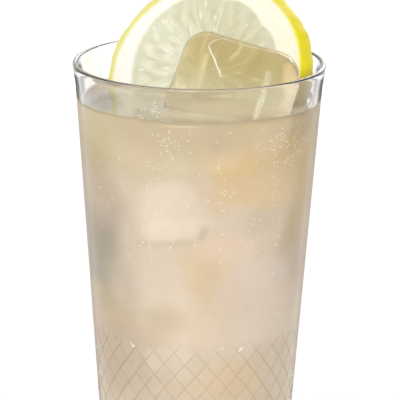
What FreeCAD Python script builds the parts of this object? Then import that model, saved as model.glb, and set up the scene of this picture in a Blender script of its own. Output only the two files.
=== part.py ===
import FreeCAD, Part
import math
import os

# Tall cut-glass tumbler of punch with a wheel of lemon and a block of ice.
# Units are millimetres and degrees. The origin is the centre of the glass's
# underside, +Z is up, and the glass is a solid of revolution about Z. The
# glass, the drink, the lemon wheel and the ice block are four loose pieces.

# ---- driving dimensions: glass -------------------------------------------
GLASS_HEIGHT = 150.0
RIM_RADIUS = 38.0            # outside, at the lip
LIP_HEIGHT = 7.0             # the wall flares out over this much below the lip
LIP_FLARE = 1.0              # how far the lip stands out from the straight wall
FOOT_RADIUS = 25.6           # outside, at the underside
FOOT_ROUNDING = 1.6          # edge round the underside
WALL_AT_LIP = 1.5
WALL_AT_FLOOR = 3.0
FLOOR_THICKNESS = 13.0       # solid glass under the drink
FLOOR_ROUNDING = 7.0         # inside, between floor and wall

# ---- driving dimensions: cut diamond band --------------------------------
BAND_TOP = 71.5              # height at which the grooves run out
BAND_BOTTOM = 34.0
DIAMONDS_AROUND = 30
DIAMOND_HEIGHT = 7.5
GROOVE_DEPTH = 0.5
PLATEAU_SHARE = 0.82         # of a diamond's width and height, between grooves
PLATEAU_SINK = 0.03          # the plateaus are polished this far under the wall
CUTTER_MARGIN = 6.0          # how far the cutter reaches outside the wall

# ---- driving dimensions: drink -------------------------------------------
LEVEL_BELOW_RIM = 11.5

# ---- driving dimensions: lemon wheel -------------------------------------
LEMON_RADIUS = 31.3          # mean radius of the oval outline
LEMON_OVALITY = 0.06         # how much longer and shorter the two axes are
LEMON_LONG_AXIS = 24.0       # angle of the long axis above the wheel's own level
LEMON_THICKNESS = 9.5
LEMON_BULGE = 0.7            # the peel stands out at mid thickness
LEMON_TURN = 27.0            # about Z, which brings the peel side into view
LEMON_LEAN = 18.0            # backwards, so that the front face looks up a little
LEMON_FROM_AXIS = (3.3, 7.0)
LEMON_BELOW_RIM = 6.0        # centre of the wheel
FLESH_RADIUS = 23.0
SEGMENTS = 10
SEGMENT_GAP = 1.1            # membrane between two segments
SEGMENT_SINK = 0.4           # flesh lies this much below the pith
CORE_RADIUS = 2.6

# ---- driving dimensions: ice block ---------------------------------------
ICE_WIDTH = 38.3
ICE_DEPTH = 16.0
ICE_HEIGHT = 32.0
ICE_ROUNDING = 7.8
ICE_ROLL = 9.1               # its right side hangs lower
ICE_ALONG = 14.45            # centre, from the lemon's centre along its face
ICE_ABOVE = -5.2             # centre, from the lemon's centre up its face
ICE_FROM_LEMON = 0.5         # clearance to the lemon's front face

V = FreeCAD.Vector
AXIS_UP = V(0, 0, 1)
CENTRE = V(0, 0, 0)

# ---- sizes worked out from the driving ones ------------------------------
STRAIGHT_TOP = GLASS_HEIGHT - LIP_HEIGHT
STRAIGHT_TOP_RADIUS = RIM_RADIUS - LIP_FLARE
LEVEL = GLASS_HEIGHT - LEVEL_BELOW_RIM


def outer_radius(z):
    """Outside of the straight wall: a cone from the foot to under the lip."""
    share = z / STRAIGHT_TOP
    return FOOT_RADIUS + (STRAIGHT_TOP_RADIUS - FOOT_RADIUS) * share


def save(shape, node):
    """Write one node's STEP and say what it holds."""
    shape.exportStep(os.path.join("parts", node + ".step"))
    print(node, "valid", shape.isValid(), "solids", len(shape.Solids),
          "faces", len(shape.Faces), "volume mm3", round(shape.Volume))


def revolve_wire(edges):
    """Turn a closed half profile in the XZ plane about Z into a solid."""
    face = Part.Face(Part.Wire(edges))
    return face.revolve(CENTRE, AXIS_UP, 360)


def line(a, b):
    """Straight edge between two points (x, z) of a half profile."""
    return Part.makeLine(V(a[0], 0, a[1]), V(b[0], 0, b[1]))


def arc(a, middle, b):
    """Round edge through three points (x, z) of a half profile."""
    return Part.Arc(V(a[0], 0, a[1]), V(middle[0], 0, middle[1]),
                    V(b[0], 0, b[1])).toShape()


# ---- glass ----------------------------------------------------------------
def inner_points():
    """Inside of the glass: floor edge, wall foot, wall under the lip, lip."""
    floor = FLOOR_THICKNESS
    wall_foot = floor + FLOOR_ROUNDING
    lip_inside = RIM_RADIUS - WALL_AT_LIP
    under_lip = STRAIGHT_TOP_RADIUS - WALL_AT_LIP
    at_foot = outer_radius(wall_foot) - WALL_AT_FLOOR
    return {
        "floor_edge": (at_foot - FLOOR_ROUNDING, floor),
        "wall_foot": (at_foot, wall_foot),
        "under_lip": (under_lip, STRAIGHT_TOP),
        "lip": (lip_inside, GLASS_HEIGHT),
    }


def floor_arc(points):
    """Quarter round from the floor up to the wall."""
    centre = (points["floor_edge"][0], points["wall_foot"][1])
    reach = FLOOR_ROUNDING * math.sqrt(0.5)
    middle = (centre[0] + reach, centre[1] - reach)
    return arc(points["floor_edge"], middle, points["wall_foot"])


def make_glass_blank():
    """The blown glass before cutting, with a rounded lip."""
    inside = inner_points()
    lip_round = WALL_AT_LIP / 2.0
    lip_z = GLASS_HEIGHT - lip_round
    foot_reach = FOOT_ROUNDING * (1 - math.sqrt(0.5))
    foot_side = outer_radius(FOOT_ROUNDING)
    foot = (foot_side - FOOT_ROUNDING, 0)
    side = (foot_side, FOOT_ROUNDING)
    foot_middle = (foot_side - foot_reach, foot_reach)
    under_lip = (STRAIGHT_TOP_RADIUS, STRAIGHT_TOP)
    lip_out = (RIM_RADIUS, lip_z)
    lip_in = (inside["lip"][0], lip_z)
    lip_top = (RIM_RADIUS - lip_round, GLASS_HEIGHT)
    floor_centre = (0, FLOOR_THICKNESS)
    edges = [
        line((0, 0), foot),
        arc(foot, foot_middle, side),
        line(side, under_lip),
        line(under_lip, lip_out),
        arc(lip_out, lip_top, lip_in),
        line(lip_in, inside["under_lip"]),
        line(inside["under_lip"], inside["wall_foot"]),
        floor_arc(inside),
        line(inside["floor_edge"], floor_centre),
        line(floor_centre, (0, 0)),
    ]
    return revolve_wire(edges)


def make_diamond_cutter():
    """Closed ring whose inside is the cut face of the glass, diamond by diamond.

    Each diamond has four corners at the bottom of the grooves, where these
    cross, and a smaller plateau just under the wall's own surface. Eight
    triangles between them are the flanks of the V grooves. In the first and
    last row the outer corners, and the tips between them, lie outside the
    wall, so that each groove runs out in a point.
    """
    step = 2 * math.pi / DIAMONDS_AROUND
    half = DIAMOND_HEIGHT / 2.0
    rows = int((BAND_TOP - BAND_BOTTOM) // half)
    bottom = BAND_TOP - rows * half
    skin = outer_radius(BAND_TOP) + CUTTER_MARGIN
    triangles = []

    def at(k, i, radius):
        """Point at row k and i steps round; odd rows are half a step on."""
        turn = step * (i + (k % 2) / 2.0)
        return V(radius * math.cos(turn), radius * math.sin(turn), bottom + k * half)

    def corner(k, i):
        depth = -GROOVE_DEPTH if k in (0, rows) else GROOVE_DEPTH
        return at(k, i, outer_radius(bottom + k * half) - depth)

    def plateau(k, i, across, up):
        """Plateau corner, as shares of half a diamond across and up."""
        z = bottom + (k + up * PLATEAU_SHARE) * half
        turn = step * (i + 0.5 + (k % 2) / 2.0 + across * PLATEAU_SHARE / 2.0)
        radius = outer_radius(z) - PLATEAU_SINK
        return V(radius * math.cos(turn), radius * math.sin(turn), z)

    def add(a, b, c):
        triangles.append(Part.Face(Part.makePolygon([a, b, c, a])))

    for k in range(1, rows):
        for i in range(DIAMONDS_AROUND):
            low = [corner(k, i), corner(k - 1, i + k % 2),
                   corner(k, i + 1), corner(k + 1, i + k % 2)]
            high = [plateau(k, i, across, up)
                    for across, up in ((-1, 0), (0, -1), (1, 0), (0, 1))]
            for m in range(4):
                n = (m + 1) % 4
                add(low[m], low[n], high[n])
                add(low[m], high[n], high[m])
            add(high[0], high[1], high[3])
            add(high[1], high[2], high[3])
    for i in range(DIAMONDS_AROUND):
        for k, inward, flip in ((0, 1, False), (rows, rows - 1, True)):
            ends = (corner(k, i), corner(k, i + 1))
            outs = (at(k, i, skin), at(k, i + 1, skin))
            groove = corner(inward, i + k % 2)
            z = bottom + (2 * k + inward) / 3.0 * half
            turn = step * (i + 0.5 + (k % 2) / 2.0)
            radius = outer_radius(z) + 2 * GROOVE_DEPTH
            tip = V(radius * math.cos(turn), radius * math.sin(turn), z)
            for a, b, c in ((ends[0], tip, groove), (groove, tip, ends[1]),
                            (ends[0], ends[1], tip), (ends[0], outs[0], ends[1]),
                            (outs[0], outs[1], ends[1])):
                add(a, c, b) if flip else add(a, b, c)
        add(at(0, i, skin), at(0, i + 1, skin), at(rows, i, skin))
        add(at(0, i + 1, skin), at(rows, i + 1, skin), at(rows, i, skin))
    return Part.Solid(Part.makeShell(triangles))


def make_glass():
    return make_glass_blank().cut(make_diamond_cutter())


# ---- lemon wheel ----------------------------------------------------------
def lemon_frame():
    """Placement of the wheel: local x along its face, y up it, z out of it."""
    place = FreeCAD.Placement(
        V(LEMON_FROM_AXIS[0], LEMON_FROM_AXIS[1], GLASS_HEIGHT - LEMON_BELOW_RIM),
        FreeCAD.Rotation())
    turn = FreeCAD.Rotation(AXIS_UP, -LEMON_TURN)
    stand = FreeCAD.Rotation(V(1, 0, 0), 90 - LEMON_LEAN)
    place.Rotation = turn.multiply(stand)
    return place


def oval(shape):
    """Stretch a round shape into the lemon's oval, along its long axis."""
    angle = math.radians(LEMON_LONG_AXIS)
    turn = FreeCAD.Matrix()
    turn.rotateZ(-angle)
    stretch = FreeCAD.Matrix()
    stretch.scale(1 + LEMON_OVALITY, 1 - LEMON_OVALITY, 1)
    back = FreeCAD.Matrix()
    back.rotateZ(angle)
    return shape.transformGeometry(back.multiply(stretch).multiply(turn))


def make_segment_pocket(index):
    """Sunk wedge of one segment, with a membrane's width to its neighbours."""
    step = 2 * math.pi / SEGMENTS
    middle = step * (index + 0.5)
    spread = math.asin(SEGMENT_GAP / 2.0 / CORE_RADIUS)
    spread_out = math.asin(SEGMENT_GAP / 2.0 / FLESH_RADIUS)
    points = [
        (CORE_RADIUS, middle - step / 2 + spread),
        (FLESH_RADIUS, middle - step / 2 + spread_out),
        (FLESH_RADIUS, middle),
        (FLESH_RADIUS, middle + step / 2 - spread_out),
        (CORE_RADIUS, middle + step / 2 - spread),
    ]
    inner_a, outer_a, outer_m, outer_b, inner_b = [
        V(r * math.cos(a), r * math.sin(a), 0) for r, a in points]
    edges = [
        Part.makeLine(inner_a, outer_a),
        Part.Arc(outer_a, outer_m, outer_b).toShape(),
        Part.makeLine(outer_b, inner_b),
        Part.makeLine(inner_b, inner_a),
    ]
    return Part.Face(Part.Wire(edges)).extrude(V(0, 0, 2 * SEGMENT_SINK))


def lemon_blank():
    """Flat-faced wheel with a bulging peel side, before it is made oval."""
    half = LEMON_THICKNESS / 2.0
    face_radius = LEMON_RADIUS - LEMON_BULGE
    return revolve_wire([
        line((0, -half), (face_radius, -half)),
        arc((face_radius, -half), (LEMON_RADIUS, 0), (face_radius, half)),
        line((face_radius, half), (0, half)),
        line((0, half), (0, -half)),
    ])


def place_lemon(wheel):
    """Make a wheel oval and stand it where the lemon stands."""
    wheel = oval(wheel)
    wheel.Placement = lemon_frame()
    return wheel


def make_lemon():
    """The wheel with its segments sunk into both faces."""
    wheel = lemon_blank()
    half = LEMON_THICKNESS / 2.0
    for index in range(SEGMENTS):
        pocket = make_segment_pocket(index)
        front = pocket.translated(V(0, 0, half - SEGMENT_SINK))
        back = pocket.translated(V(0, 0, -half - SEGMENT_SINK))
        wheel = wheel.cut(front).cut(back)
    return place_lemon(wheel)


# ---- ice block ------------------------------------------------------------
def make_ice():
    """Melted block with rounded edges, leaning along the lemon's face."""
    block = Part.makeBox(ICE_WIDTH, ICE_HEIGHT, ICE_DEPTH,
                         V(-ICE_WIDTH / 2.0, -ICE_HEIGHT / 2.0, -ICE_DEPTH / 2.0))
    block = block.makeFillet(ICE_ROUNDING, block.Edges)
    block.rotate(CENTRE, AXIS_UP, -ICE_ROLL)
    out = LEMON_THICKNESS / 2.0 + ICE_FROM_LEMON + ICE_DEPTH / 2.0
    block.translate(V(ICE_ALONG, ICE_ABOVE, out))
    return block.transformGeometry(lemon_frame().toMatrix())


# ---- drink ----------------------------------------------------------------
def make_drink(lemon, ice):
    """What fills the glass up to the level, cut round the lemon and the ice.

    The lemon comes in as its plain outside, so no liquid fills the segments.
    """
    inside = inner_points()
    low, high = inside["wall_foot"], inside["under_lip"]
    rise = (LEVEL - low[1]) / (high[1] - low[1])
    level_radius = low[0] + (high[0] - low[0]) * rise
    edges = [
        line((0, FLOOR_THICKNESS), inside["floor_edge"]),
        floor_arc(inside),
        line(inside["wall_foot"], (level_radius, LEVEL)),
        line((level_radius, LEVEL), (0, LEVEL)),
        line((0, LEVEL), (0, FLOOR_THICKNESS)),
    ]
    return revolve_wire(edges).cut(lemon).cut(ice)


os.makedirs("parts", exist_ok=True)
glass = make_glass()
lemon = make_lemon()
ice = make_ice()
drink = make_drink(place_lemon(lemon_blank()), ice)
save(glass, "glass")
save(lemon, "lemon_slice")
save(ice, "ice_block")
save(drink, "drink")
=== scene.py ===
# %% [markdown]
# # A glass of gin punch
# This lesson dresses a plain model of a drink: a tall tumbler with a cut
# diamond band, a pale cloudy punch, a wheel of lemon and a block of ice. The
# frame comes first, because every piece has to sit where the plain solids
# are. The frame also gives us the sizes, so we type as few of them as we can.

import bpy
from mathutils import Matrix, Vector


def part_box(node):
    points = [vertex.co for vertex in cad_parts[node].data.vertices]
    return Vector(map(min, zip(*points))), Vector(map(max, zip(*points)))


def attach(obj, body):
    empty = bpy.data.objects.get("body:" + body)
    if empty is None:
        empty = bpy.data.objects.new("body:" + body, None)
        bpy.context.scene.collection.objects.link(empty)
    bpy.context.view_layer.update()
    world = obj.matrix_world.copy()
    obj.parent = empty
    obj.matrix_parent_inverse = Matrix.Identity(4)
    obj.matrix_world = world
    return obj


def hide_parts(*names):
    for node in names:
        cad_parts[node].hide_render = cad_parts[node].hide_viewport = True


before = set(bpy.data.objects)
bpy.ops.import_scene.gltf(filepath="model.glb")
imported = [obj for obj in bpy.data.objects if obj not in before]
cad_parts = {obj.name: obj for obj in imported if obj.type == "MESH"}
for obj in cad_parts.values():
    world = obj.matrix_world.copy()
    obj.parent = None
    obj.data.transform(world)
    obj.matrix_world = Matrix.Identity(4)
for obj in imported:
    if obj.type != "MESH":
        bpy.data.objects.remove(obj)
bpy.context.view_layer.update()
print("nodes", sorted(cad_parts))

# %% [markdown]
# Shapes are worked out as whole arrays, so numpy does the counting and
# Blender only receives the finished vertices. Lengths are written in
# millimetres where a maker would say them, and turned into metres once.

# %% Tools and units
import math

import bpy
import numpy as np
from mathutils import Vector

MM = 0.001
RANDOM = np.random.default_rng(7)

# %% [markdown]
# The big sizes come from the boxes of the plain solids. The rest, such as
# the wall's thickness, is repeated here in the same words as in the solids.

# %% Sizes of the glass and its contents
glass_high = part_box("glass")[1]
drink_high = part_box("drink")[1]
GLASS_HEIGHT = glass_high.z
RIM_RADIUS = glass_high.x
LEVEL = drink_high.z
LIP_HEIGHT = 7.0 * MM
LIP_FLARE = 1.0 * MM
FOOT_RADIUS = 25.6 * MM
FOOT_ROUNDING = 1.6 * MM
WALL_AT_LIP = 1.5 * MM
WALL_AT_FLOOR = 3.0 * MM
FLOOR_THICKNESS = 13.0 * MM
FLOOR_ROUNDING = 7.0 * MM
STRAIGHT_TOP = GLASS_HEIGHT - LIP_HEIGHT
STRAIGHT_TOP_RADIUS = RIM_RADIUS - LIP_FLARE
WALL_FOOT = FLOOR_THICKNESS + FLOOR_ROUNDING
print("glass", round(GLASS_HEIGHT / MM, 1), "mm high, drink up to", round(LEVEL / MM, 1))


def outer_radius(z):
    """Outside of the wall: a straight line from the foot to under the lip."""
    return FOOT_RADIUS + (STRAIGHT_TOP_RADIUS - FOOT_RADIUS) * z / STRAIGHT_TOP


INNER_FOOT_RADIUS = outer_radius(WALL_FOOT) - WALL_AT_FLOOR
INNER_TOP_RADIUS = STRAIGHT_TOP_RADIUS - WALL_AT_LIP


def inner_radius(z):
    """Inside of the wall: a straight line from the floor's edge to the lip."""
    share = (z - WALL_FOOT) / (STRAIGHT_TOP - WALL_FOOT)
    return INNER_FOOT_RADIUS + (INNER_TOP_RADIUS - INNER_FOOT_RADIUS) * share


# %% [markdown]
# ## From arrays to a mesh
# Nearly every piece here is a closed skin that runs from one pole to the
# other: rows of points round an axis, with a single point at each end. One
# helper turns such an array into a mesh. It measures the volume that the
# faces enclose and turns them round if it is negative, so they point out.

# %% Skin between two poles
def enclosed_volume(points, triangles):
    """Sum of the signed volumes of the tetrahedra from the origin to each face."""
    a, b, c = (points[triangles[:, k]] for k in range(3))
    return float(np.einsum("ij,ij->i", a, np.cross(b, c)).sum() / 6.0)


def mesh_object(name, points, quads, triangles):
    """Make an object from arrays of points, four-cornered and three-cornered faces."""
    volume = enclosed_volume(points, triangles)
    if len(quads):
        volume += enclosed_volume(points, quads[:, [0, 1, 2]])
        volume += enclosed_volume(points, quads[:, [0, 2, 3]])
    if volume < 0:
        quads, triangles = quads[:, ::-1], triangles[:, ::-1]
    corners = np.concatenate([quads.ravel(), triangles.ravel()]).astype(np.int32)
    sizes = np.concatenate([np.full(len(quads), 4), np.full(len(triangles), 3)])
    starts = np.concatenate([[0], np.cumsum(sizes)[:-1]]).astype(np.int32)
    mesh = bpy.data.meshes.new(name)
    mesh.vertices.add(len(points))
    mesh.vertices.foreach_set("co", points.astype(np.float32).ravel())
    mesh.loops.add(len(corners))
    mesh.loops.foreach_set("vertex_index", corners)
    mesh.polygons.add(len(sizes))
    mesh.polygons.foreach_set("loop_start", starts)
    mesh.update(calc_edges=True)
    mesh.validate()
    mesh.shade_smooth()
    piece = bpy.data.objects.new(name, mesh)
    bpy.context.scene.collection.objects.link(piece)
    print(name, len(points), "points", 2 * len(quads) + len(triangles), "triangles")
    return piece


def skin_faces(rows, columns):
    """Faces of rows x columns points that close round, plus a pole at each end."""
    j, i = np.meshgrid(np.arange(rows - 1), np.arange(columns), indexing="ij")
    i_next = (i + 1) % columns
    quads = np.stack([j * columns + i, j * columns + i_next,
                      (j + 1) * columns + i_next, (j + 1) * columns + i], -1).reshape(-1, 4)
    ring = np.arange(columns)
    ring_next = (ring + 1) % columns
    first, last = rows * columns, rows * columns + 1
    top = (rows - 1) * columns
    fans = np.concatenate([
        np.stack([np.full(columns, first), ring_next, ring], -1),
        np.stack([np.full(columns, last), top + ring, top + ring_next], -1)])
    return quads, fans


def skin(name, grid, first_pole, last_pole):
    """Closed piece from a (rows, columns, 3) grid and the two points that end it."""
    rows, columns = grid.shape[:2]
    quads, fans = skin_faces(rows, columns)
    points = np.concatenate([grid.reshape(-1, 3), [first_pole], [last_pole]])
    return mesh_object(name, points, quads, fans)


def turned(radius, height, turns):
    """Points of a profile (radius, height) carried round Z through all turns."""
    radius = np.asarray(radius)
    if radius.ndim == 1:
        radius = radius[:, None] + 0 * turns[None, :]
    height = np.asarray(height)
    if height.ndim == 1:
        height = height[:, None] + 0 * turns[None, :]
    return np.stack([radius * np.cos(turns), radius * np.sin(turns), height], -1)


def quarter_arc(centre, radius, start, end, steps):
    """Points of an arc in the (radius, height) plane, angles in degrees."""
    angle = np.radians(np.linspace(start, end, steps))
    return np.stack([centre[0] + radius * np.cos(angle), centre[1] + radius * np.sin(angle)], -1)


# %% [markdown]
# ## The glass
# A tumbler is a profile turned about its axis, so a lathe curve would make
# it. The cut band is harder: thirty V grooves run up each way and cross. Cut
# with Boolean tools they would leave a messy mesh. Here the wall is a grid of
# fourteen columns to a diamond, so both families of grooves run exactly from
# corner to corner of the grid, and a groove is simply the corners pushed in.

# %% Profile of the glass
DIAMONDS_AROUND = 30
DIAMOND_HEIGHT = 7.5 * MM
BAND_TOP = 71.5 * MM
BAND_BOTTOM = 34.0 * MM
GROOVE_DEPTH = 0.42 * MM
CELLS = 14
COLUMNS = DIAMONDS_AROUND * CELLS
HALF_ROWS = int((BAND_TOP - BAND_BOTTOM) / (DIAMOND_HEIGHT / 2) + 0.01)
BAND_ROWS = HALF_ROWS * CELLS // 2
BAND_START = BAND_TOP - HALF_ROWS * DIAMOND_HEIGHT / 2


def straight(a, b, steps):
    """Points from a to b, without the last one."""
    share = np.linspace(0, 1, steps, endpoint=False)[:, None]
    return np.array(a) + (np.array(b) - np.array(a)) * share


def glass_profile():
    """(radius, height) from the middle of the underside over the lip to the floor.

    Also returns the index of the row where the cut band starts.
    """
    foot_side = outer_radius(FOOT_ROUNDING)
    lip = WALL_AT_LIP / 2
    lip_centre = (RIM_RADIUS - lip, GLASS_HEIGHT - lip)
    below = [
        straight((1.5 * MM, 0.0), (foot_side - FOOT_ROUNDING, 0.0), 5),
        quarter_arc((foot_side - FOOT_ROUNDING, FOOT_ROUNDING), FOOT_ROUNDING, -90, 0, 6)[:-1],
        straight((foot_side, FOOT_ROUNDING), (outer_radius(BAND_START), BAND_START), 9),
    ]
    heights = BAND_START + np.arange(BAND_ROWS) * (DIAMOND_HEIGHT / CELLS)
    band = np.stack([outer_radius(heights), heights], -1)
    above = [
        straight((outer_radius(BAND_TOP), BAND_TOP), (STRAIGHT_TOP_RADIUS, STRAIGHT_TOP), 12),
        straight((STRAIGHT_TOP_RADIUS, STRAIGHT_TOP), (RIM_RADIUS, lip_centre[1]), 5),
        quarter_arc(lip_centre, lip, 0, 180, 11)[:-1],
        straight((RIM_RADIUS - 2 * lip, lip_centre[1]), (INNER_TOP_RADIUS, STRAIGHT_TOP), 5),
        straight((INNER_TOP_RADIUS, STRAIGHT_TOP), (INNER_FOOT_RADIUS, WALL_FOOT), 18),
        quarter_arc((INNER_FOOT_RADIUS - FLOOR_ROUNDING, WALL_FOOT), FLOOR_ROUNDING, 0, -90, 9),
        straight((INNER_FOOT_RADIUS - FLOOR_ROUNDING, FLOOR_THICKNESS),
                 (1.5 * MM, FLOOR_THICKNESS), 4)[1:],
    ]
    start = sum(len(part) for part in below)
    return np.concatenate(below + [band] + above), start


profile, band_first = glass_profile()
print("profile rows", len(profile), "of which cut", BAND_ROWS)

# %% [markdown]
# A groove does not stop dead: the wheel lifts off the glass and leaves a
# point. So the depth fades over half a diamond at both ends of the band.
# Each grid cell is split along the groove that lies nearer, which keeps every
# valley and every edge a clean straight line.

# %% Cut the band
FADE = DIAMOND_HEIGHT * 0.55


def band_grid():
    """Row, column and fade of every grid corner of the band."""
    j, i = np.meshgrid(np.arange(BAND_ROWS + 1), np.arange(COLUMNS), indexing="ij")
    height = j * DIAMOND_HEIGHT / CELLS
    from_end = np.minimum(height, BAND_ROWS * DIAMOND_HEIGHT / CELLS - height)
    return j, i, np.clip(from_end / FADE, 0, 1)


def groove_mask():
    """1 where a groove's bottom passes through a grid corner, fading at the ends."""
    j, i, fade = band_grid()
    return (((i + j) % CELLS == 0) | ((i - j) % CELLS == 0)) * fade


def nearer_diagonal(j, i):
    """True where a cell is split along the grooves that rise with the turn."""
    rising = (i - j) % CELLS
    falling = (i + 1 + j) % CELLS
    rising = np.minimum(rising, CELLS - rising)
    falling = np.minimum(falling, CELLS - falling)
    return rising <= falling


def painted_line_strength(i):
    """How strong the painted shade and the painted highlight of rising and of falling grooves are,
    round the glass.
    """
    turn = i * 2 * math.pi / COLUMNS + math.pi / 2
    patchy = 0.72 + 0.28 * np.cos(turn) ** 2 * np.sin(9 * turn + 2.5)
    return patchy * (0.62 - 0.38 * np.sin(turn)), patchy * (0.62 + 0.38 * np.sin(turn))


def band_shades():
    """Painted shade in the grooves, a painted highlight on the flanks under them, and a random tone
    for each diamond.
    """
    j, i, fade = band_grid()
    rising, falling = painted_line_strength(i)
    # painted shade along the groove bottoms, stronger for one family on each side of the glass
    cut = np.maximum(rising * ((i - j) % CELLS == 0), falling * ((i + j) % CELLS == 0))
    # painted highlight on the flank beside each groove
    gleam = np.maximum(rising * ((i - j) % CELLS == 1), falling * ((i + j) % CELLS == CELLS - 1))
    one, two = (i + j) // CELLS, (i - j) // CELLS
    shade = np.mod(np.sin(one * 12.9898 + two * 78.233) * 43758.5453, 1.0)
    return cut * fade, gleam * fade, shade * fade


def make_glass():
    """Turned profile with the groove depth taken off the radius in the band."""
    turns = np.arange(COLUMNS) * 2 * math.pi / COLUMNS
    radius = np.repeat(profile[:, :1], COLUMNS, 1)
    mask = np.zeros_like(radius)
    mask[band_first:band_first + BAND_ROWS + 1] = groove_mask()
    grid = turned(radius - GROOVE_DEPTH * mask, profile[:, 1], turns)
    rows = len(profile)
    quads, fans = skin_faces(rows, COLUMNS)
    j, i = np.divmod(np.arange(len(quads)), COLUMNS)
    in_band = (j >= band_first - 1) & (j <= band_first + BAND_ROWS)
    cut, cut_j, cut_i = quads[in_band], j[in_band] - band_first, i[in_band]
    rising = nearer_diagonal(cut_j, cut_i)[:, None]
    one = np.where(rising, cut[:, [0, 1, 2]], cut[:, [0, 1, 3]])
    two = np.where(rising, cut[:, [0, 2, 3]], cut[:, [1, 2, 3]])
    points = np.concatenate([grid.reshape(-1, 3), [(0, 0, 0)], [(0, 0, FLOOR_THICKNESS)]])
    piece = mesh_object("glass_cut_tumbler", points, quads[~in_band],
                        np.concatenate([fans, one, two]))
    for name, shades in zip(("cut", "gleam", "tone"), band_shades()):
        field = np.zeros_like(mask)
        field[band_first:band_first + BAND_ROWS + 1] = shades
        store_points(piece, name, np.append(field.ravel(), [0, 0]))
    piece.data.set_sharp_from_angle(angle=math.radians(24))
    return piece


def store_points(piece, name, values):
    """Keep one number for each point of a piece, for its material to read."""
    field = piece.data.attributes.new(name, "FLOAT", "POINT")
    field.data.foreach_set("value", np.asarray(values, np.float32))


def store_colours(piece, name, colours):
    """Keep a colour for each point of a piece, for its material to read."""
    field = piece.data.attributes.new(name, "FLOAT_COLOR", "POINT")
    rgba = np.concatenate([colours, np.ones((len(colours), 1))], 1)
    field.data.foreach_set("color", rgba.astype(np.float32).ravel())


tumbler = make_glass()

# %% [markdown]
# ## Where things lie inside
# The drink climbs a little wherever it meets a wall, and it meets three: the
# glass, the lemon and the ice. To know how far a point of the surface is from
# each, we write the lemon and the ice as distance formulas in their own
# frames. The lemon's frame stands at its middle: along its face, up its face
# and straight out of it. The ice leans on that face, so it shares the frame.

# %% Frames of the lemon and the ice
LEMON_TURN = math.radians(27.0)
LEMON_LEAN = math.radians(18.0)
LEMON_RADIUS = 31.3 * MM
LEMON_OVALITY = 0.06
LEMON_LONG_AXIS = math.radians(24.0)
LEMON_THICKNESS = 9.5 * MM
LEMON_BULGE = 0.7 * MM
ICE_SIZE = np.array([38.3, 32.0, 16.0]) * MM
ICE_ROUNDING = 7.8 * MM
ICE_ROLL = math.radians(9.1)


def box_middle(node):
    """Middle of a solid's box, which is the solid's own middle for even shapes."""
    low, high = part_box(node)
    return np.array((low + high) / 2)


lemon_middle = box_middle("lemon_slice")
ice_middle = box_middle("ice_block")
face_along = np.array([math.cos(LEMON_TURN), -math.sin(LEMON_TURN), 0.0])
face_out = np.array([-math.sin(LEMON_TURN) * math.cos(LEMON_LEAN),
                     -math.cos(LEMON_TURN) * math.cos(LEMON_LEAN), math.sin(LEMON_LEAN)])
face_up = np.cross(face_out, face_along)
ice_along = math.cos(ICE_ROLL) * face_along - math.sin(ICE_ROLL) * face_up
ice_up = math.sin(ICE_ROLL) * face_along + math.cos(ICE_ROLL) * face_up
print("lemon middle mm", (lemon_middle / MM).round(1), "ice middle mm", (ice_middle / MM).round(1))


def into_frame(points, middle, along, up, out):
    """Coordinates of points along three axes that meet at a middle."""
    return (points - middle) @ np.stack([along, up, out], 1)


def out_of_frame(local, middle, along, up, out):
    """The reverse: points in the world from coordinates along the axes."""
    return middle + local @ np.stack([along, up, out], 0)


def rounded_box_distance(local, size, rounding):
    """Distance to a box with round edges: to the inner box, less the rounding."""
    beyond = np.abs(local) - (np.asarray(size) / 2 - rounding)
    outside = np.linalg.norm(np.maximum(beyond, 0), axis=-1)
    inside = np.minimum(beyond.max(-1), 0)
    return outside + inside - rounding


def oval_radius(angle):
    """The lemon's outline: a mean radius, longer one way and shorter across it."""
    a = LEMON_RADIUS * (1 + LEMON_OVALITY)
    b = LEMON_RADIUS * (1 - LEMON_OVALITY)
    turn = angle - LEMON_LONG_AXIS
    return a * b / np.hypot(b * np.cos(turn), a * np.sin(turn))


def lemon_distance(points):
    """Rough distance to the lemon: past its outline or past its faces."""
    local = into_frame(points, lemon_middle, face_along, face_up, face_out)
    radial = np.hypot(local[..., 0], local[..., 1])
    past_outline = radial - oval_radius(np.arctan2(local[..., 1], local[..., 0]))
    past_face = np.abs(local[..., 2]) - LEMON_THICKNESS / 2
    return np.maximum(past_outline, past_face)


def ice_distance(points):
    """Distance to the big block of ice."""
    local = into_frame(points, ice_middle, ice_along, ice_up, face_out)
    return rounded_box_distance(local, ICE_SIZE, ICE_ROUNDING)


# %% [markdown]
# ## The drink
# The punch fills the inside of the glass and reaches a hair into its wall,
# because a gap of air there would shine like silver. Its skin runs from the
# middle of the floor, up the wall and over the surface to the middle of that.
# The surface is a height over the plane: a soft swell, plus a small climb
# that dies away with the distance from each wall.

# %% Make the drink
INTO_WALL = 0.15 * MM
DRINK_COLUMNS = 300
WALL_CLIMB = 1.1 * MM
PIECE_CLIMB = 0.6 * MM


def climb(distance, height, reach):
    """How far liquid climbs a wall at a distance: exponential, nothing behind it."""
    return height * np.exp(-np.maximum(distance, 0) / reach)


def surface_height(points, radius):
    """Height of the drink's surface over its level at points of the plane."""
    x, y = points[..., 0] / MM, points[..., 1] / MM
    swell = 0.12 * np.sin(0.21 * x + 0.5) * np.cos(0.17 * y - 0.8)
    swell = swell + 0.06 * np.sin(0.55 * x - 0.4 * y)
    height = swell * MM - 0.12 * MM
    height = height + climb(inner_radius(LEVEL) - radius, WALL_CLIMB, 0.9 * MM)
    height = height + climb(lemon_distance(points), PIECE_CLIMB, 0.8 * MM)
    return height + climb(ice_distance(points), PIECE_CLIMB, 0.8 * MM)


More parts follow.
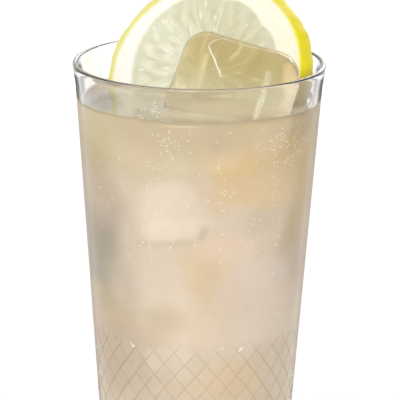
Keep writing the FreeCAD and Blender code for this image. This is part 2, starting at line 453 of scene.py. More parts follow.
def make_drink():
    """Floor, wall and surface of the drink as one skin."""
    turns = np.arange(DRINK_COLUMNS) * 2 * math.pi / DRINK_COLUMNS
    floor = FLOOR_THICKNESS - INTO_WALL
    side_top = inner_radius(LEVEL) + INTO_WALL
    lower = np.concatenate([
        straight((1.5 * MM, floor), (INNER_FOOT_RADIUS - FLOOR_ROUNDING, floor), 5),
        quarter_arc((INNER_FOOT_RADIUS - FLOOR_ROUNDING, WALL_FOOT), FLOOR_ROUNDING + INTO_WALL,
                    -90, 0, 9)[:-1],
        straight((INNER_FOOT_RADIUS + INTO_WALL, WALL_FOOT), (side_top, LEVEL), 130),
    ])
    share = np.linspace(0, 1, 62, endpoint=False)
    top_radius = side_top * (1 - share ** 1.6)
    walls = turned(lower[:, 0], lower[:, 1], turns)
    top = turned(top_radius, np.full(len(top_radius), LEVEL), turns)
    top[..., 2] += surface_height(top, top_radius[:, None])
    centre = np.array([0.0, 0.0, LEVEL])
    centre[2] += float(surface_height(centre[None], np.zeros(1))[0])
    piece = skin("punch", np.concatenate([walls, top]), (0, 0, floor), centre)
    return piece


punch = make_drink()

# %% [markdown]
# ## The lemon wheel
# A slice of lemon has a yellow skin full of oil glands, a thick white pith,
# and wedges of flesh between thin membranes. All of it can be one height
# field over polar coordinates: the angle says which wedge we are in, and the
# radius says how far we are from the core and the pith. The same two numbers
# give the colour, so it is worked out alongside the shape and stored.

# %% Relief of the cut face
SEGMENTS = 10
FLESH_RADIUS = 23.9 * MM
SEGMENT_SINK = 0.10 * MM
FLESH_LEANS = math.radians(35)
SEGMENT_EDGES = np.radians(np.array([14, 45, 82, 108, 134, 171, 208, 246, 284, 328.0]))


def smooth_step(value, low, high):
    """0 below low, 1 above high, and a smooth S between them."""
    share = np.clip((value - low) / (high - low), 0, 1)
    return share * share * (3 - 2 * share)


def wave_noise(angle, radius, seed, fine):
    """Soft bumps: a few sine waves of random direction added together."""
    rng = np.random.default_rng(seed)
    x, y = radius * np.cos(angle), radius * np.sin(angle)
    total = np.zeros(np.broadcast(angle, radius).shape)
    for _ in range(9):
        heading = rng.uniform(0, 2 * math.pi)
        length, phase = rng.uniform(0.7, 1.5), rng.uniform(0, 6.3)
        ahead = x * math.cos(heading) + y * math.sin(heading)
        total = total + np.sin(ahead / (fine * length) + phase)
    return total / 3.0


def wedge_of(angle):
    """Index of the wedge and the share of the way across it, for each angle."""
    angle = np.mod(angle - SEGMENT_EDGES[0], 2 * math.pi) + SEGMENT_EDGES[0]
    edges = np.append(SEGMENT_EDGES, SEGMENT_EDGES[0] + 2 * math.pi)
    index = np.clip(np.searchsorted(edges, angle, side="right") - 1, 0, SEGMENTS - 1)
    low, high = edges[index], edges[index + 1]
    return index, (angle - low) / (high - low), (high - low)


def flesh_share(angle, radius):
    """1 inside a wedge of flesh, 0 on membranes, core and pith."""
    index, across, width = wedge_of(angle)
    to_membrane = np.minimum(across, 1 - across) * width * radius
    crown = FLESH_RADIUS * (1.01 - 0.06 * np.abs(2 * across - 1) ** 3 - 0.012 * (index % 3)
                            + 0.055 * np.cos(angle - FLESH_LEANS))
    inside = smooth_step(to_membrane, 0.05 * MM, 0.45 * MM)
    inside = inside * smooth_step(crown - radius, 0.0, 1.0 * MM)
    return inside * smooth_step(radius, 2.0 * MM, 3.4 * MM)


def juice_cells(angle, radius):
    """Drop-shaped cells that point at the core: stretched waves, 0 to 1."""
    index, across, width = wedge_of(angle)
    lean = across * width * 9.0 + np.sin(index * 2.7) * 2.0
    cells = np.sin(lean * 2.6 + 1.6 * np.sin(radius / (2.3 * MM) + index))
    along = np.sin(radius / (1.15 * MM) + 3.0 * np.sin(lean * 1.7) + index * 1.3)
    return 0.5 + (0.28 * cells + 0.22 * along) * smooth_step(radius, 5 * MM, 15 * MM)


def face_relief(angle, radius):
    """Height of the cut face over the pith's plane."""
    flesh = flesh_share(angle, radius)
    bumps = 0.22 * MM * (juice_cells(angle, radius) - 0.5) * flesh
    pith = 0.05 * MM * wave_noise(angle, radius, 3, 1.6 * MM) * (1 - flesh)
    return bumps + pith - SEGMENT_SINK * flesh


# %% [markdown]
# The peel's side bulges a little and is dotted with glands. The whole wheel
# is one skin from the middle of the front face, over the edge and the side,
# to the middle of the back.

# %% Make the lemon
LEMON_COLUMNS = 420
PEEL_EDGE = 0.9 * MM
FACE_ROWS = 78
CORE_HOLE = 0.8 * MM
UNEVEN_SKIN = [(0.16, 13, 1.0), (0.10, 29, 0.0), (0.06, 47, 2.0)]  # mm, waves, phase


def lemon_grid():
    """Angle of every column, and radius and place across of every point of the wheel."""
    angle = np.arange(LEMON_COLUMNS) * 2 * math.pi / LEMON_COLUMNS
    uneven = sum(size * np.sin(waves * angle + phase) for size, waves, phase in UNEVEN_SKIN)
    outline = oval_radius(angle) + uneven * MM
    half = LEMON_THICKNESS / 2
    share = np.linspace(0, 1, FACE_ROWS)[:, None]
    face = CORE_HOLE + (outline[None, :] - PEEL_EDGE - CORE_HOLE) * share
    relief = face_relief(angle[None, :], face)
    around = np.radians(np.linspace(90, 0, 7))[1:, None]
    edge_r = outline - PEEL_EDGE + PEEL_EDGE * np.cos(around) - LEMON_BULGE
    edge_z = half - PEEL_EDGE + PEEL_EDGE * np.sin(around) + 0 * outline
    side = np.linspace(1, -1, 15)[1:-1, None]
    side_z = side * (half - PEEL_EDGE) + 0 * outline
    side_r = outline - LEMON_BULGE * side ** 2 + 0 * side
    glands = 0.10 * MM * np.sin(outline * angle / (0.62 * MM) + 2.2 * side * 7)
    side_r = side_r + glands * np.cos(side * half / (0.45 * MM)) * (1 - side ** 2)
    front_r = face - share * LEMON_BULGE
    front_z = half + relief
    radius = np.concatenate([front_r, edge_r, side_r, edge_r[::-1], front_r[::-1]])
    across = np.concatenate([front_z, edge_z, side_z, -edge_z[::-1], -front_z[::-1]])
    return angle, radius, across


def make_lemon():
    """Put the wheel's grid into its frame, and colour it by zone."""
    angle, radius, across = lemon_grid()
    local = np.stack([radius * np.cos(angle), radius * np.sin(angle), across], -1)
    half = LEMON_THICKNESS / 2
    poles = np.array([[0, 0, half], [0, 0, -half]])
    grid = out_of_frame(local, lemon_middle, face_along, face_up, face_out)
    ends = out_of_frame(poles, lemon_middle, face_along, face_up, face_out)
    piece = skin("lemon_wheel", grid, ends[0], ends[1])
    colours = lemon_colours(np.broadcast_to(angle, radius.shape), radius, grid[..., 2])
    store_colours(piece, "zone_colour", np.concatenate(
        [colours.reshape(-1, 3), np.tile(CORE_COLOUR, (2, 1))]))
    flesh = flesh_share(np.broadcast_to(angle, radius.shape), radius)
    store_points(piece, "flesh", np.append(flesh.ravel(), [0, 0]))
    return piece


# %% [markdown]
# Colours are written as they look on screen, from 0 to 255, and turned into
# the linear light that the renderer adds up.

# %% Colours of the lemon
def light(*screen):
    """Linear light of a screen colour given as three numbers from 0 to 255."""
    value = np.array(screen, float) / 255
    return np.where(value <= 0.04045, value / 12.92, ((value + 0.055) / 1.055) ** 2.4)


PEEL_COLOUR = light(242, 226, 6)
RIND_PALE = light(230, 224, 142)
PITH_COLOUR = light(255, 251, 242)
PITH_WARM = light(253, 242, 222)
FLESH_COLOUR = light(236, 234, 212)
FLESH_DEEP = light(216, 215, 190)
FLESH_WARM = light(204, 196, 158)
MEMBRANE_COLOUR = light(221, 220, 195)
CORE_COLOUR = light(228, 227, 204)
PAINTED_GLINT_COLOUR = light(255, 254, 244)
# painted shade: the peel's colour where it shows through the glass wall
SHADED_PEEL_PAINT = light(146, 124, 40)
GLINT_COUNT = 70


def mix(a, b, share):
    """Blend of two colours, or of a colour and an array of them."""
    share = np.asarray(share)[..., None]
    return a * (1 - share) + b * share


def painted_glints(angle, radius):
    """Painted highlights, wet glints on the flesh: short strokes that point at the core."""
    rng = np.random.default_rng(5)
    total = np.zeros(radius.shape)
    turns = rng.uniform(0, 2 * math.pi, GLINT_COUNT)
    ranges = ((6, 22.5), (0.5, 1.3), (0.18, 0.40))  # mm from the core, long, wide
    spans = [rng.uniform(low, high, GLINT_COUNT) * MM for low, high in ranges]
    for at, out, long, wide in zip(turns, *spans):
        aside = (np.mod(angle - at + math.pi, 2 * math.pi) - math.pi) * radius
        total = total + np.exp(-(aside / wide) ** 2 - ((radius - out) / long) ** 2)
    return np.clip(total, 0, 1)


def lemon_colours(angle, radius, height):
    """Colour of each point: flesh and membranes, pith, then the yellow skin."""
    outline = oval_radius(angle)
    flesh = flesh_share(angle, radius)
    cells = juice_cells(angle, radius)
    sunward = radius * np.cos(angle - FLESH_LEANS) / FLESH_RADIUS
    meat = mix(FLESH_DEEP, FLESH_COLOUR, np.clip(cells * 1.3 - 0.1, 0, 1))
    meat = mix(meat, FLESH_WARM, 0.6 * smooth_step(sunward, -0.4, 0.6))
    rim_of_flesh = smooth_step(radius, FLESH_RADIUS * 0.84, FLESH_RADIUS * 0.98)
    meat = mix(meat, FLESH_DEEP, 0.5 * rim_of_flesh)
    # painted highlights of wet glints on the flesh
    meat = mix(meat, PAINTED_GLINT_COLOUR, 0.75 * painted_glints(angle, radius))
    pith = mix(PITH_COLOUR, PITH_WARM, smooth_step(np.cos(angle), -0.3, 0.9))
    in_flesh_disc = smooth_step(FLESH_RADIUS - radius, -0.9 * MM, 0.9 * MM)
    base = mix(pith, MEMBRANE_COLOUR, in_flesh_disc)
    base = mix(base, meat, flesh)
    depth_in = outline - radius
    yellow = smooth_step(np.cos(angle - 0.35), 0.2, 0.7)
    wide = (3.5 - 1.4 * yellow) * MM
    on_skin = 1 - smooth_step(depth_in, wide - 1.5 * MM, wide)
    rind = mix(RIND_PALE, PEEL_COLOUR,
               np.maximum(yellow, 1 - smooth_step(depth_in, 0.1 * MM, 0.6 * MM)))
    # the peel inside the glass is painted darker, a painted shade for the wall in front of it
    in_glass = yellow * (1 - smooth_step(height, GLASS_HEIGHT - 5 * MM, GLASS_HEIGHT + 1 * MM))
    rind = mix(rind, SHADED_PEEL_PAINT, 0.95 * in_glass)
    return mix(base, rind, on_skin)


lemon = make_lemon()

# %% [markdown]
# ## Ice
# A block of ice is a box that has melted: its corners are round and its
# faces wave. Such a shape is easy to state as a distance formula and hard to
# state as a grid. So we send a ray out of the middle in every direction, and
# halve the stretch that holds the surface until it is found, for all rays at
# once. The same helper makes every other lump of ice in the drink.

# %% Solve a surface along rays
def ray_grid(rows, columns):
    """Directions on a sphere: rows from top to bottom without the poles."""
    polar = (np.arange(rows) + 1) * math.pi / (rows + 1)
    turns = np.arange(columns) * 2 * math.pi / columns
    return np.stack([np.sin(polar)[:, None] * np.cos(turns), np.sin(polar)[:, None] * np.sin(turns),
                     np.cos(polar)[:, None] + 0 * turns], -1)


def reach_along(start, directions, distance, furthest):
    """Length of each ray at which a distance formula turns positive, by halving."""
    near = np.zeros(directions.shape[:-1])
    far = np.full(directions.shape[:-1], furthest)
    for _ in range(26):
        middle = (near + far) / 2
        outside = distance(start + middle[..., None] * directions) > 0
        near, far = np.where(outside, near, middle), np.where(outside, middle, far)
    return (near + far) / 2


def solved_points(start, distance, furthest, rows, columns):
    """Points where rays from start meet the surface: all rows, then both ends."""
    start = np.asarray(start, float)
    rays = np.concatenate([ray_grid(rows, columns).reshape(-1, 3), [[0, 0, 1.0]], [[0, 0, -1.0]]])
    return start + reach_along(start, rays, distance, furthest)[..., None] * rays


def joined(name, clouds, rows, columns):
    """One piece from many closed skins that all have the same rows and columns."""
    quads, fans = skin_faces(rows, columns)
    shift = (np.arange(len(clouds)) * (rows * columns + 2))[:, None, None]
    return mesh_object(name, np.concatenate(clouds), (quads[None] + shift).reshape(-1, 4),
                       (fans[None] + shift).reshape(-1, 3))


def lumps(name, sources, rows, columns):
    """One piece from the surfaces round several starts: start, distance, furthest reach."""
    return joined(name, [solved_points(*source, rows, columns) for source in sources],
                  rows, columns)


def melt(points, seed, scale, size):
    """Soft waves over a lump: sines along nine random directions in space."""
    rng = np.random.default_rng(seed)
    total = np.zeros(points.shape[:-1])
    for _ in range(9):
        heading = rng.normal(size=3)
        heading /= np.linalg.norm(heading)
        length = scale * rng.uniform(0.6, 1.5)
        total = total + np.sin(points @ heading / length + rng.uniform(0, 6.3))
    return total * size / 3.0


# %% [markdown]
# The big block stands half out of the drink. Above the surface it is clear
# and bright; below it, ice and punch bend light almost alike, so it nearly
# vanishes. That is why it is two pieces, parted just under the surface.

# %% Make the big block
UNDER_SURFACE = 0.35 * MM


def block_distance(points):
    """Distance to the melted block, wavy faces and all."""
    return ice_distance(points) + melt(points, 11, 5.0 * MM, 0.28 * MM)


def above_distance(points):
    """The block, and nothing below the cut."""
    return np.maximum(block_distance(points), LEVEL - UNDER_SURFACE - points[..., 2])


def below_distance(points):
    """The block, and nothing above the cut."""
    return np.maximum(block_distance(points), points[..., 2] - (LEVEL - UNDER_SURFACE - 0.4 * MM))


ice_top_start = ice_middle + np.array([0, 0, 1.0]) * max(0.0, LEVEL + 4 * MM - ice_middle[2])
ice_low_start = ice_middle.copy()
ice_low_start[2] = min(ice_middle[2], LEVEL - 5 * MM)
BLOCK_REACH = 40 * MM
block_above = lumps("ice_block_above", [(ice_top_start, above_distance, BLOCK_REACH)], 110, 170)
block_below = lumps("ice_block_below", [(ice_low_start, below_distance, BLOCK_REACH)], 60, 96)

# %% [markdown]
# More cubes hang in the drink. They are seen only as pale windows in the
# cloud, so a few rounded lumps are enough. Each row gives the lump's place
# as a turn from the front, a distance from the axis and a height, then its
# sizes and how it is tipped. A check keeps them clear of wall, lemon and block.

# %% Cubes deep in the drink
DEEP_CUBES = [
    # turn deg, from axis mm, height mm, size mm (x, y, z), tip deg, seed
    (-34, 15.5, 106, (27, 19, 25), 8, 21),
    (30, 15.0, 96, (26, 20, 24), -14, 22),
    (112, 14.5, 103, (25, 20, 26), 11, 23),
    (-118, 15.0, 83, (24, 20, 25), -9, 24),
    (-24, 12.0, 74, (24, 18, 25), 16, 25),
    (62, 11.5, 66, (22, 18, 24), -10, 26),
    (175, 12.0, 62, (24, 18, 23), 9, 27),
    (-70, 7.0, 44, (21, 19, 22), 20, 28),
]


CUBE_REACH = 30 * MM
CUBE_ROUNDING = 5.0 * MM
FROM_WALL, FROM_PIECES = 0.7 * MM, 0.8 * MM


def turned_axes(turn, tip):
    """Three axes: across, up and outwards, turned about Z and tipped in their plane."""
    out = np.array([math.sin(turn), -math.cos(turn), 0.0])
    across = np.array([math.cos(turn), math.sin(turn), 0.0])
    up = np.array([0.0, 0.0, 1.0])
    return (math.cos(tip) * across + math.sin(tip) * up,
            -math.sin(tip) * across + math.cos(tip) * up, out)


def deep_cube(row):
    """Start, distance formula and reach of one melted cube, held inside the wall."""
    turn, off, height, size, tip, seed = row
    turn, tip = math.radians(turn), math.radians(tip)
    across, up, out = turned_axes(turn, tip)
    middle = np.array([math.sin(turn) * off, -math.cos(turn) * off, height]) * MM
    spans = np.array([size[0], size[2], size[1]]) * MM

    def distance(points):
        local = into_frame(points, middle, across, up, out)
        lump = rounded_box_distance(local, spans, CUBE_ROUNDING)
        lump = lump + melt(points, seed, 4.5 * MM, 0.45 * MM)
        wall = np.hypot(points[..., 0], points[..., 1]) - (inner_radius(points[..., 2]) - FROM_WALL)
        clear = FROM_PIECES - np.minimum(lemon_distance(points), ice_distance(points))
        return np.maximum(np.maximum(lump, wall), clear)

    return middle, distance, CUBE_REACH


sunk_cubes = lumps("ice_sunk_cubes", [deep_cube(row) for row in DEEP_CUBES], 40, 64)

# %% [markdown]
# The block has cracked on its way into the glass. The crack runs over its
# front as a fine white thread, so it is a tube along a broken line. Every
# point of the line is first pushed out to the melted skin of the block.

# %% Crack in the block
CRACK_LINE = np.array([
    # along and up the block in mm, thickness of the thread in mm
    (-3.6, 15.0, 0.05), (-6.3, 14.8, 0.12), (-7.9, 13.4, 0.16), (-8.5, 11.8, 0.20),
    (-6.9, 10.1, 0.30), (-5.4, 8.9, 0.24), (-4.2, 7.7, 0.34), (-3.3, 6.5, 0.28),
    (-1.8, 5.2, 0.30), (-0.8, 3.4, 0.08)])


def on_block_front(along_up):
    """Points of the block's front skin at places given along and up the block."""
    local = np.concatenate([along_up, np.zeros((len(along_up), 1))], 1)
    start = out_of_frame(local, ice_middle, ice_along, ice_up, face_out)
    rays = np.broadcast_to(face_out, start.shape)
    return start + (reach_along(start, rays, block_distance, 14 * MM) - 0.06 * MM)[:, None] * rays


def make_crack():
    """Rings of eight points round a line with sharp kinks, eight steps to a kink."""
    marks = np.arange(len(CRACK_LINE))
    share = np.linspace(0, marks[-1], 8 * marks[-1] + 1)
    along, up, thick = (np.interp(share, marks, CRACK_LINE[:, k]) for k in range(3))
    jitter = 0.14 * np.sin(share * 9.1) + 0.10 * np.sin(share * 17.3 + 1.0)
    path = on_block_front(np.stack([along + jitter, up], 1) * MM)
    step = np.gradient(path, axis=0)
    step /= np.linalg.norm(step, axis=1)[:, None]
    side = np.cross(step, face_out)
    turns = np.arange(8) * math.pi / 4
    ring = (np.cos(turns)[None, :, None] * side[:, None] + np.sin(turns)[None, :, None] * face_out)
    grid = path[:, None] + 0.8 * thick[:, None, None] * MM * ring
    return skin("ice_crack", grid, path[0] - 0.1 * MM * step[0], path[-1] + 0.1 * MM * step[-1])


crack = make_crack()

# %% [markdown]
# ## Bubbles
# Fizz clings to the wall in swarms and climbs it in chains. One small ball
# of few faces is repeated for all of them in a single piece: every corner of
# every ball is one row of an array, so a thousand bubbles cost no loop.

# %% Many small balls as one piece
def balls(name, centres, radii):
    """One piece from many balls: five rings of eight points round each centre."""
    unit = np.concatenate([ray_grid(5, 8).reshape(-1, 3), [[0, 0, 1.0]], [[0, 0, -1.0]]])
    return joined(name, centres[:, None, :] + radii[:, None, None] * unit, 5, 8)


def on_wall(turn_degrees, height):
    """Places on the inside of the wall from a turn from the front and a height."""
    turn = np.radians(turn_degrees)
    radius = inner_radius(height)
    return np.stack([radius * np.sin(turn), -radius * np.cos(turn), height], -1)


SWARMS = [
    # turn deg, height mm, spread deg, spread mm, how many
    (-14, 131, 5, 2.8, 90), (-24, 124, 4, 3.0, 70), (38, 130, 9, 3.0, 120),
    (54, 128, 5, 3.4, 70), (44, 134, 6, 1.6, 50), (8, 120, 14, 7.0, 50),
    (-50, 118, 12, 6.0, 40), (20, 104, 18, 8.0, 50), (33, 104, 5, 6.0, 30),
    (140, 122, 30, 7.0, 140), (-140, 124, 30, 8.0, 140), (95, 112, 18, 10.0, 70),
    (-95, 112, 18, 10.0, 70), (0, 135, 60, 2.0, 70),
]
CHAINS = [
    # turn deg, lowest mm, highest mm, drift deg, how many
    (-26, 100, 122, 1.5, 40), (-29, 92, 112, -2.0, 24), (12, 100, 126, 2.0, 22),
    (43, 104, 130, -3.0, 26), (-60, 96, 120, 2.0, 14), (-15, 100, 108, 8.0, 16),
    (130, 80, 126, 3.0, 26), (-150, 84, 124, -3.0, 26),
]


def bubble_places():
    """Centres of all bubbles: normal spreads for swarms, even steps for chains."""
    turns, heights = [RANDOM.uniform(-180, 180, 420)], [RANDOM.uniform(30, 136, 420)]
    for turn, height, wide, tall, count in SWARMS:
        turns.append(turn + wide * RANDOM.normal(size=count))
        heights.append(height + tall * RANDOM.normal(size=count))
    for turn, low, high, drift, count in CHAINS:
        share = (np.arange(count) + RANDOM.uniform(0, 0.6, count)) / count
        turns.append(turn + drift * share + 0.5 * RANDOM.normal(size=count))
        heights.append(low + (high - low) * share)
    turns, heights = np.concatenate(turns), np.concatenate(heights)
    heights = np.clip(heights, 24, 136.5) * MM
    return on_wall(turns, heights)


def floating_places(count):
    """Bubbles that float on the surface in front of the lemon, left of the ice."""
    x = (-13.5 + 3.2 * RANDOM.normal(size=count)) * MM
    y = (-15.0 + 5.5 * RANDOM.normal(size=count)) * MM
    places = np.stack([x, y, np.full(count, LEVEL)], 1)
    radius = np.hypot(x, y)
    clear = (radius < inner_radius(LEVEL) - 1 * MM) & (lemon_distance(places) > 0.8 * MM)
    places = places[clear & (ice_distance(places) > 0.8 * MM)]
    places[:, 2] += surface_height(places, np.hypot(places[:, 0], places[:, 1]))
    return places


wall_bubbles, floating_bubbles = bubble_places(), floating_places(46)
bubble_centres = np.concatenate([wall_bubbles, floating_bubbles])
bubble_radii = (0.13 + 0.26 * RANDOM.uniform(0, 1, len(bubble_centres)) ** 2.4) * MM
bubble_radii[len(wall_bubbles):] += 0.10 * MM
bubbles = balls("punch_bubbles", bubble_centres, bubble_radii)

# %% [markdown]
# ## Finishes
# A finish starts from one Principled shader. Numbers that are the same all
# over go straight onto its sockets; only what varies comes from nodes. The
# small class keeps the nodes of one material together.

# %% Start a finish
def rgba(colour):
    """Four numbers for a colour socket."""
    return (*[float(c) for c in colour], 1.0)


class Finish:
    """A material with one Principled shader whose plain sockets are set by name."""

    def __init__(self, name, **sockets):
        self.material = bpy.data.materials.new(name)
        self.material.use_nodes = True
        self.tree = self.material.node_tree
        self.tree.nodes.clear()
        self.shader = self.new("BsdfPrincipled")
        self.output = self.new("OutputMaterial")
        self.link(self.shader.outputs["BSDF"], self.output.inputs["Surface"])
        for socket, value in sockets.items():
            self.shader.inputs[socket.replace("_", " ")].default_value = value

    def new(self, kind):
        """Add a node of a kind."""
        return self.tree.nodes.new("ShaderNode" + kind)

    def link(self, source, socket):
        """Lead a result to a socket, or write a plain number or colour there."""
        if isinstance(source, bpy.types.NodeSocket):
            self.tree.links.new(source, socket)
        else:
            socket.default_value = rgba(source) if np.ndim(source) else source

    def set(self, name, source):
        """Lead a result to one of the shader's own sockets."""
        self.link(source, self.shader.inputs[name])


def put_on(piece, finish):
    """Dress a piece with its finish and ride it on the one body."""
    piece.data.materials.clear()
    piece.data.materials.append(finish.material)
    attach(piece, "root")


# %% [markdown]
# Each of the next helpers adds one small group of nodes to a finish and
# returns the socket that holds its result.

# %% Patterns and blends
def noise(finish, scale, detail=3.0, rough=0.55, stretch=(1, 1, 1)):
    """Noise in Object coordinates, in features per metre, stretched per axis."""
    fit, grain = finish.new("Mapping"), finish.new("TexNoise")
    fit.inputs["Scale"].default_value = stretch
    for name, value in (("Scale", scale), ("Detail", detail), ("Roughness", rough)):
        grain.inputs[name].default_value = value
    finish.link(finish.new("TexCoord").outputs["Object"], fit.inputs["Vector"])
    finish.link(fit.outputs["Vector"], grain.inputs["Vector"])
    return grain.outputs["Fac"]


def between(finish, source, low, high, out_low=0.0, out_high=1.0):
    """Stretch a range of values onto another one, held at its ends."""
    stretch = finish.new("MapRange")
    ends = {"From Min": low, "From Max": high, "To Min": out_low, "To Max": out_high}
    for name, value in ends.items():
        stretch.inputs[name].default_value = value
    finish.link(source, stretch.inputs["Value"])
    return stretch.outputs["Result"]


def bump(finish, source, height, strength=1.0):
    """Raise the surface by a value, in metres, without new faces."""
    relief = finish.new("Bump")
    relief.inputs["Distance"].default_value = height
    relief.inputs["Strength"].default_value = strength
    finish.link(source, relief.inputs["Height"])
    finish.set("Normal", relief.outputs["Normal"])


def attribute(finish, name, output="Fac"):
    """Read a value kept on the points of a piece."""
    reader = finish.new("Attribute")
    reader.attribute_name = name
    return reader.outputs[output]


def colour_mix(finish, share, a, b, blend="MIX"):
    """Blend two colours, each a plain colour or a socket."""
    blender = finish.new("Mix")
    blender.data_type = "RGBA"
    blender.blend_type = blend
    for value, socket in ((share, 0), (a, 6), (b, 7)):
        finish.link(value, blender.inputs[socket])
    return blender.outputs[2]


def maths(finish, operation, a, b):
    """One step of arithmetic on two values."""
    step = finish.new("Math")
    step.operation = operation
    finish.link(a, step.inputs[0])
    finish.link(b, step.inputs[1])
    return step.outputs["Value"]


def turned_away(finish, low, high):
    """0 where a surface faces the eye, 1 where it is seen edge-on, between two marks."""
    weight = finish.new("LayerWeight")
    weight.inputs["Blend"].default_value = 0.5
    return between(finish, weight.outputs["Facing"], low, high)


def height_within(finish, low, high, soft=0.8 * MM):
    """1 between two heights over the floor and 0 outside them, with soft ends."""
    parts = finish.new("SeparateXYZ")
    finish.link(finish.new("TexCoord").outputs["Object"], parts.inputs["Vector"])
    over = between(finish, parts.outputs["Z"], low - soft, low + soft)
    under = between(finish, parts.outputs["Z"], high - soft, high + soft, 1, 0)
    return maths(finish, "MULTIPLY", over, under)


# %% [markdown]
# Glass bends light, and the paths that lamps would take through it are too
# rare to find by chance. So lamps and soft bounced light see a plain tinted
# pane instead, while the eye still sees real bending.

# %% Let lamps through
def veil_over(finish, share, shader, tint):
    """Turn a shader into a clear tinted one by a share."""
    clear, choose = finish.new("BsdfTransparent"), finish.new("MixShader")
    finish.link(tint, clear.inputs["Color"])
    finish.link(share, choose.inputs["Fac"])
    finish.link(shader, choose.inputs[1])
    finish.link(clear.outputs["BSDF"], choose.inputs[2])
    return choose.outputs["Shader"]


def let_lamps_through(finish, tint, shader=None):
    """Swap the shader for a tinted clear one on shadow rays and diffuse rays."""
    path = finish.new("LightPath")
    either = maths(finish, "MAXIMUM", path.outputs["Is Shadow Ray"], path.outputs["Is Diffuse Ray"])
    seen = finish.shader.outputs["BSDF"] if shader is None else shader
    finish.link(veil_over(finish, either, seen, tint), finish.output.inputs["Surface"])


# %% [markdown]
# The edge of a glass looks dark, because there it shows the far ends of the room and not the white
# backdrop. Our room is white all round, so the finish lays a dark clear veil over what is seen
# edge-on, a painted reflection of the dark room: a strong grey one on the bare wall over the drink,
# and a weaker brown one where the drink stands behind. The grooves of the cut band get a painted
# brownish shade, and their flanks a painted highlight.

# %% Glass finish
GROOVE_BROWN = (0.60, 0.56, 0.51)
DIAMOND_GREY = (0.93, 0.925, 0.92)
EDGE_BROWN = (0.50, 0.41, 0.31)
VEIL_BROWN = (0.62, 0.50, 0.38)
VEIL_GREY = (0.30, 0.29, 0.29)
WALL_START = LEVEL + 1.0 * MM
WALL_END = GLASS_HEIGHT - 2.5 * MM

glass = Finish("clear_cut_glass", Base_Color=(1, 1, 1, 1), Transmission_Weight=1.0, IOR=1.5)
glass.set("Roughness", between(glass, noise(glass, 38.0, 4.0), 0.35, 0.75, 0.0, 0.02))
brown_edge = maths(glass, "MULTIPLY", height_within(glass, FLOOR_THICKNESS, WALL_START),
                  turned_away(glass, 0.72, 0.95))
dark_edge = maths(glass, "MULTIPLY", height_within(glass, WALL_START, WALL_END),
                 turned_away(glass, 0.70, 0.82))
diamond_toned = colour_mix(glass, attribute(glass, "tone"), (1.0, 1.0, 1.0), DIAMOND_GREY)
# painted shade along the grooves of the cut band
painted_groove_shade = colour_mix(glass, attribute(glass, "cut"), diamond_toned, GROOVE_BROWN)
# painted brown shade where the glass over the drink is seen edge-on
glass.set("Base Color", colour_mix(glass, brown_edge, painted_groove_shade, EDGE_BROWN))
# painted highlight on the groove flanks: less clear there, so the white base shows
glass.set("Transmission Weight", between(glass, attribute(glass, "gleam"), 0, 1, 1.0, 0.82))
veil_share = maths(glass, "ADD", between(glass, brown_edge, 0, 1, 0, 0.7),
                  between(glass, dark_edge, 0, 1, 0, 0.9))
veil_tint = colour_mix(glass, dark_edge, VEIL_BROWN, VEIL_GREY)
veiled = veil_over(glass, veil_share, glass.shader.outputs["BSDF"], veil_tint)
let_lamps_through(glass, (0.97, 0.975, 0.97), veiled)
absorb = glass.new("VolumeAbsorption")
absorb.inputs["Color"].default_value = (0.62, 0.6, 0.54, 1.0)
absorb.inputs["Density"].default_value = 9.0
glass.link(absorb.outputs["Volume"], glass.output.inputs["Volume"])
put_on(tumbler, glass)
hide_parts("glass")

# %% [markdown]
# ## The punch's finish
# Lemon juice makes the punch cloudy: light gets a little way in, scatters and comes out pale. Near
# the surface it is deeper and yellower; where a cube rests close behind the wall it is almost
# white. At the sides, where the round wall turns from the lamps, and in the gaps between cubes it
# is greyed with painted shade, and a thin painted shadow lies under a pale cube. Near the lemon the
# wall carries the lemon's peel in painted shade, and a painted dark line runs along the brink. Each
# of those is a soft patch on the wall, given by where it is and how large. Part of the light still
# goes through, so real cubes show faintly.

# %% Paint the punch
PUNCH_BODY = light(221, 204, 183)
PUNCH_TOP = light(202, 183, 150)
PUNCH_PALE = light(240, 224, 208)
PUNCH_SHADE = light(146, 136, 122)
PUNCH_TAN = light(192, 170, 144)
PUNCH_OLIVE = light(194, 180, 136)
PUNCH_AMBER = light(190, 162, 92)
PUNCH_WARM = light(226, 196, 150)
PUNCH_PINK = light(234, 206, 184)
PUNCH_GREY = light(186, 173, 158)
PUNCH_PEARL = light(229, 212, 199)
PUNCH_LINE = light(160, 144, 108)
